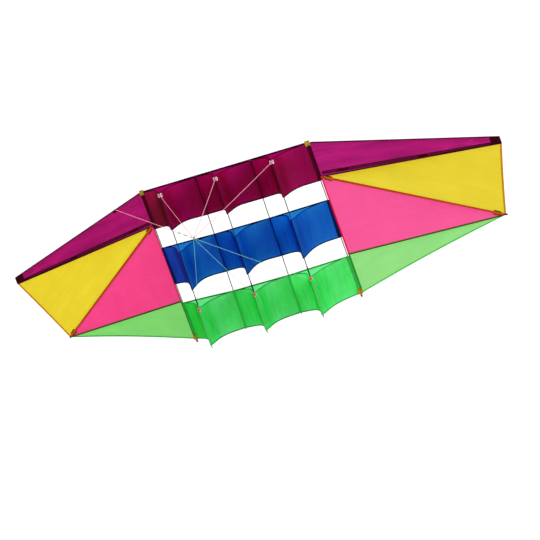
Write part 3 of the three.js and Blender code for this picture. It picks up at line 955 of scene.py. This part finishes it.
def wing_corners(prefix, side):
    """The corners of a wing's panels, moved a little from the CAD ones to where the cloth ends."""
    purple = from_root(f"{prefix}_purple_panel", side)
    seam_root, nose_root = sorted(purple[:2], key=lambda p: p.z)
    tip_lower, tip_upper = sorted(purple[2:], key=lambda p: p.z)
    yellow_root, *outer = from_root(f"{prefix}_yellow_panel", side)
    yellow_rear, yellow_front = sorted(outer, key=lambda p: p.z)
    *inner, pink_rear = from_root(f"{prefix}_pink_panel", side)
    pink_tail, pink_front = sorted(inner, key=lambda p: p.z)
    *inner, green_rear = from_root(f"{prefix}_green_panel", side)
    green_tail, green_front = sorted(inner, key=lambda p: p.z)
    for corner in (pink_tail, pink_front, green_tail, green_front):
        corner.x -= side * WING_REACH
    for corner in (nose_root, seam_root):
        corner.x -= side * WING_REACH / 2
    for corner in (nose_root, tip_upper):
        corner.z += EDGE_TUCK
    for corner in (yellow_rear, pink_rear, green_rear):
        corner += (yellow_root - corner).normalized() * REAR_TRIM
    # a triangle is a panel with one edge shrunk to a point
    return {
        "purple": (seam_root, tip_lower, tip_upper, nose_root),
        "yellow": (yellow_root, yellow_rear, yellow_front, yellow_root),
        "pink": (pink_rear, pink_tail, pink_front, pink_rear),
        "green": (green_rear, green_tail, green_front, green_rear),
    }


def wing(label, side):
    body = f"{label}_wing"
    prefix = f"wing_{label}"
    corners = wing_corners(prefix, side)
    front = bellied(corners["purple"], WING_BELLY["purple"], 1 + side, PURPLE_CREASE, pulled=PULL_CREASE)
    yellow = bellied(corners["yellow"], WING_BELLY["yellow"], 2 + side, hollow=("u1", YELLOW_HOLLOW))
    pink = bellied(corners["pink"], WING_BELLY["pink"], 3 + side)
    green = bellied(corners["green"], WING_BELLY["green"], 4 + side, hollow=("v0", GREEN_HOLLOW))
    purple_piece(prefix, body, front, label == "left")
    yellow_piece(prefix, body, front, yellow, pink)
    pink_piece(prefix, body, pink)
    green_piece(prefix, body, green, pink)
    tip_patch(f"{prefix}_tip_patch", body)
    rear = corners["pink"][0]
    tip_loop(prefix, body, rear)
    for end in ("root", "tip"):
        strut_pocket(f"{prefix}_strut_pocket_{end}", body, rear)


def purple_piece(prefix, body, surface, marked):
    """The nose panel with its leading-edge sleeve, its spar channel and, if marked, a small dark patch."""
    piece = Piece()
    piece.sheet(surface, 60, 28, cloth["purple"])
    piece.hem(surface, "u0", WING_HEM["purple"], folded["purple_edge"])
    piece.hem(surface, "u1", WING_HEM["purple"], folded["purple_edge"], steps=6)
    inner, outer = sorted(rod_ends(f"{prefix}_leading_edge_rod"), key=lambda p: abs(p.x))
    tip = outer + (outer - inner).normalized() * EDGE_SLEEVE_PAST
    piece.tube([inner.lerp(tip, t) for t in shares(30)], EDGE_SLEEVE, folded["purple_edge"])
    piece.hem(surface, "v1", EDGE_HEM, folded["purple_edge"], steps=60)
    if marked:
        edge_mark(piece, surface)
    spar_channel(piece, prefix)
    piece.finish(f"{prefix}_purple_cloth", body, [f"{prefix}_purple_panel"], "purple_nylon")


def edge_mark(piece, surface):
    first, last = EDGE_MARK
    near, far = EDGE_MARK_DEPTH

    def mark(s, t):
        return surface(first + (last - first) * s, near + (far - near) * t)

    piece.sheet(mark, 6, 6, folded["tip_patch"], -LAYER)


def spar_channel(piece, prefix):
    """A strip of cloth sewn over the main spar, with a dark strip over each of its two openings on the
    windward side.
    """
    inner, outer = sorted(rod_ends(f"{prefix}_main_spar"), key=lambda p: abs(p.x))
    along = (outer - inner).normalized()
    across = BACK.cross(along).normalized()
    if across.z < 0:
        across.negate()
    back = backward(across.cross(along).normalized())

    def strip(start, stop, profile, material):
        rows = []
        for t in shares(24):
            centre = inner.lerp(outer, start + (stop - start) * t)
            rows.append([centre + across * x * MM + back * y * MM for x, y in profile])
        piece.quads(rows, material)

    channel = [(-9, -3.0), (-4, -1.0), (-2.8, 1.6), (0, 2.9), (2.8, 1.6), (4, -1.0), (9, -3.0)]
    strip(0, 1, channel, folded["purple_sleeve"])
    strip(0, 1, [(5.5, -3.9), (7.5, -4.2), (9.5, -3.9)], folded["purple_edge"])
    strip(0, 1, [(-3, -3.9), (-1.5, -4.2), (0, -3.9)], folded["purple_edge"])
    # a dark strip in the tip patch's colour over each opening
    for start, stop in SPAR_OPENINGS:
        strip(start, stop, [(-6, -4.2), (0, -5.2), (6, -4.2)], folded["tip_patch"])


def yellow_piece(prefix, body, front, yellow, pink):
    piece = Piece()
    piece.sheet(yellow, 44, 34, cloth["yellow"])
    piece.hem(yellow, "u1", WING_HEM["yellow"], folded["yellow_hem"], steps=34)
    piece.seam((front, "v0"), (yellow, "v1"), SEAM, folded["purple_edge"])
    piece.seam((yellow, "v0"), (pink, "v1"), SEAM * 1.15, folded["seam_orange"], flip=True)
    piece.finish(f"{prefix}_yellow_cloth", body, [f"{prefix}_yellow_panel"], "yellow_nylon")


def pink_piece(prefix, body, pink):
    piece = Piece()
    piece.sheet(pink, 44, 34, cloth["pink"])
    piece.hem(pink, "u1", WING_HEM["pink"], folded["pink_hem"], steps=34)
    piece.finish(f"{prefix}_pink_cloth", body, [f"{prefix}_pink_panel"], "pink_nylon")


def green_piece(prefix, body, green, pink):
    piece = Piece()
    piece.sheet(green, 44, 24, cloth["light_green"])
    piece.hem(green, "u1", WING_HEM["green"], folded["green_edge"], steps=24)
    piece.hem(green, "v0", TAIL_HEM, folded["light_green_hem"], steps=44)
    piece.seam((green, "v1"), (pink, "v0"), SEAM, folded["seam_dark_green"])
    piece.finish(f"{prefix}_green_cloth", body, [f"{prefix}_green_panel"], "light_green_nylon")


def ordered(corners):
    """Corners of a flat outline in order round it, and the normal that faces the wind."""
    centre = sum(corners, Vector()) / len(corners)
    normal = (corners[1] - corners[0]).cross(corners[2] - corners[0]).normalized()
    across = (corners[0] - centre).normalized()
    other = normal.cross(across)
    ring = sorted(corners, key=lambda p: math.atan2((p - centre).dot(other), (p - centre).dot(across)))
    return ring, -backward(normal)


def tip_patch(node, body):
    ring, front = ordered(panel_corners(node))
    flat = bilinear(*ring)

    def crowned(u, v):
        return flat(u, v) + front * 0.8 * MM * hump(u, 0.6) * hump(v, 0.6)

    piece = Piece()
    piece.sheet(crowned, 14, 10, folded["tip_patch"])
    steps = shares(8)
    rim = [flat(s, 0) for s in steps] + [flat(1, s) for s in steps[1:]]
    rim += [flat(1 - s, 1) for s in steps[1:]] + [flat(0, 1 - s) for s in steps[1:]]
    piece.tube(rim, 0.7 * MM, folded["tip_patch"], sides=6, cap=False)
    piece.finish(f"{node}_cloth", body, [node], "tip_patch")


def tip_loop(prefix, body, corner):
    """Two turns of black cord that hold the rear corner of the cloth to the cap on the strut."""
    inner, outer = sorted(rod_ends(f"{prefix}_diagonal_strut"), key=lambda p: abs(p.x))
    along = (outer - inner).normalized()
    behind = box_centre(f"{prefix}_rear_tip_cap") - corner
    behind = (behind - along * behind.dot(along)) / 2
    across = along.cross(behind).normalized()
    centre = corner + behind - along * 1.5 * MM
    piece = Piece()
    turns = []
    for t in shares(48):
        angle = 4 * math.pi * t
        drift = across * (t - 0.5) * LOOP_SPREAD
        round_cap = along * LOOP_REACH * math.cos(angle) + behind * 1.75 * math.sin(angle)
        turns.append(centre + round_cap + drift)
    piece.tube(turns, LOOP_CORD, loop_black)
    piece.finish(f"{prefix}_rear_tip_loop", body)


def strut_pocket(node, body, rear):
    """A webbing pocket crowned over the strut's end, bound in brown above, with a red tube below that is a
    painted shadow on the pink cloth.
    """
    ring, front = ordered(panel_corners(node))
    ring.sort(key=lambda p: (p - rear).length)
    near_low, near_high = sorted(ring[:2], key=lambda p: p.z)
    far_low, far_high = sorted(ring[2:], key=lambda p: p.z)
    outwards = (near_high - near_low).normalized() * POCKET_PROUD
    for low, high in ((near_low, near_high), (far_low, far_high)):
        low -= outwards
        high += outwards
    flat = bilinear(near_low, far_low, far_high, near_high)

    def surface(u, v):
        return flat(u, v) + front * 2.4 * MM * hump(v, 0.6) * (0.5 + 0.5 * hump(u, 0.5))

    piece = Piece()
    piece.sheet(surface, 16, 10, folded["pocket_orange"])
    # the red tube along the lower edge is a painted shadow; the brown one along the upper edge is the
    # binding
    for v, first, rim_colour in ((0.05, 0.0, "pocket_red_shadow"), (0.95, 0.12, "pocket_dark")):
        edge = [flat(first + (0.94 - first) * t, v) for t in shares(10)]
        piece.tube(edge, 3.1 * MM, folded[rim_colour])
    for u in (0.0, 1.0):
        tack = [surface(u, 0.15 + 0.7 * t) for t in shares(10)]
        piece.tube(tack, 0.8 * MM, folded["seam_orange"], sides=6)
    piece.finish(f"{node}_webbing", body, [node], "orange_pocket")


# ---- hard parts that stay as they are ----

def dress_hard_parts():
    finishes = {"tip_cap": cap_black, "tow_ring": metal}
    for entry in frame["record"]["subparts"]:
        finish = finishes.get(entry["material_slot"])
        if entry["material_slot"] == "rod":
            finish = keel_rod if entry["node"].startswith("keel") else outer_rod
        if finish:
            data = frame["nodes"][entry["node"]].data
            data.materials.clear()
            data.materials.append(finish)


# ---- stage, light and camera ----

WHITE = (1, 1, 1, 1)
FLOOR_GLOW = 0.085
FLOOR_BELOW = 1.9
DIM_SIDE = 0.25  # strength of the studio's light in front of the kite
BRIGHT_SIDE = 0.88  # and behind it, high on the left
BRIGHT_DIRECTION = Vector((-0.3, 0.8, 0.5))


def build_floor():
    bpy.ops.mesh.primitive_plane_add(size=240, location=(0, 0, cad_bounds[0][2] - FLOOR_BELOW))
    floor = bpy.context.object
    floor.name = "studio_floor"
    nodes = Nodes("pale_floor")
    cloud = nodes.noise(nodes.place(), 0.6, 2.0)
    tone = nodes.mix(cloud, scaled(WHITE, 0.93), scaled(WHITE, 0.95))
    inputs = {"Base Color": tone, "Roughness": 0.9, "Specular IOR Level": 0.0}
    inputs.update({"Emission Color": WHITE, "Emission Strength": FLOOR_GLOW})
    floor.data.materials.append(nodes.finish(nodes.add("BsdfPrincipled", inputs).outputs[0]))


def build_world():
    """Light that fades from one side to the other, and full white where the camera sees it."""
    nodes = Nodes("white_studio", bpy.data.worlds)
    ahead = nodes.add("TexCoord").outputs["Generated"]
    towards = nodes.add("VectorMath", {0: ahead, 1: BRIGHT_DIRECTION}, operation="DOT_PRODUCT")
    ramp = {"Value": towards.outputs["Value"], "From Min": -1, "From Max": 1}
    ramp.update({"To Min": DIM_SIDE, "To Max": BRIGHT_SIDE})
    strength = nodes.add("MapRange", ramp).outputs[0]
    lighting = nodes.add("Background", {0: WHITE, 1: strength}).outputs[0]
    seen = nodes.add("Background", {0: WHITE}).outputs[0]
    camera_ray = nodes.add("LightPath").outputs["Is Camera Ray"]
    mixed = nodes.add("MixShader", {0: camera_ray, 1: lighting, 2: seen}).outputs[0]
    nodes.add("OutputWorld", {0: mixed})
    bpy.context.scene.world = nodes.owner


def add_sun(name, direction, strength, softness):
    lamp = bpy.data.lights.new(name, "SUN")
    lamp.energy = strength
    lamp.angle = math.radians(softness)
    placed(name, lamp).rotation_euler = Vector(direction).to_track_quat("-Z", "Y").to_euler()


def build_camera():
    """It stands to the right of the bridle side, a little above, rolled so that the nose leans left."""
    aim = Vector((0.072, 0.0, -0.167))
    distance = 13.707
    azimuth, elevation, roll = (math.radians(angle) for angle in (18.43, 7.97, 18.45))
    level = math.cos(elevation)
    towards = Vector((-math.sin(azimuth) * level, math.cos(azimuth) * level, -math.sin(elevation)))
    level_right = towards.cross(UP).normalized()
    level_up = level_right.cross(towards)
    right = level_right * math.cos(roll) - level_up * math.sin(roll)
    up = right.cross(towards)
    camera = bpy.data.cameras.new("camera")
    camera.sensor_width = 36
    camera.lens = 167.7
    camera.clip_end = 500
    holder = placed("camera", camera)
    place = Matrix((right, up, -towards)).transposed().to_4x4()
    place.translation = aim - towards * distance
    holder.matrix_world = place
    bpy.context.scene.camera = holder


for row_name in ROWS:
    back_piece(row_name)
    for column_name in COLUMNS:
        cell_piece(row_name, column_name)
for end_name in ("nose", "tail"):
    for side_name in ("left", "right"):
        corner_pocket(end_name, side_name)
for side_name in ("left", "right"):
    tail_cap(side_name)
for column_name in COLUMNS:
    keel_patch(column_name)
    bridle_leg("upper", column_name)
    bridle_leg("lower", column_name)
flying_line()
wing("left", -1)
wing("right", 1)
dress_hard_parts()
build_floor()
build_world()
add_sun("sun_behind", direction=(0.3, -0.85, -0.41), strength=0.7, softness=30)
add_sun("window_right", direction=(-0.93, 0.08, -0.36), strength=3.0, softness=20)
build_camera()
bpy.context.scene.view_settings.view_transform = "Standard"
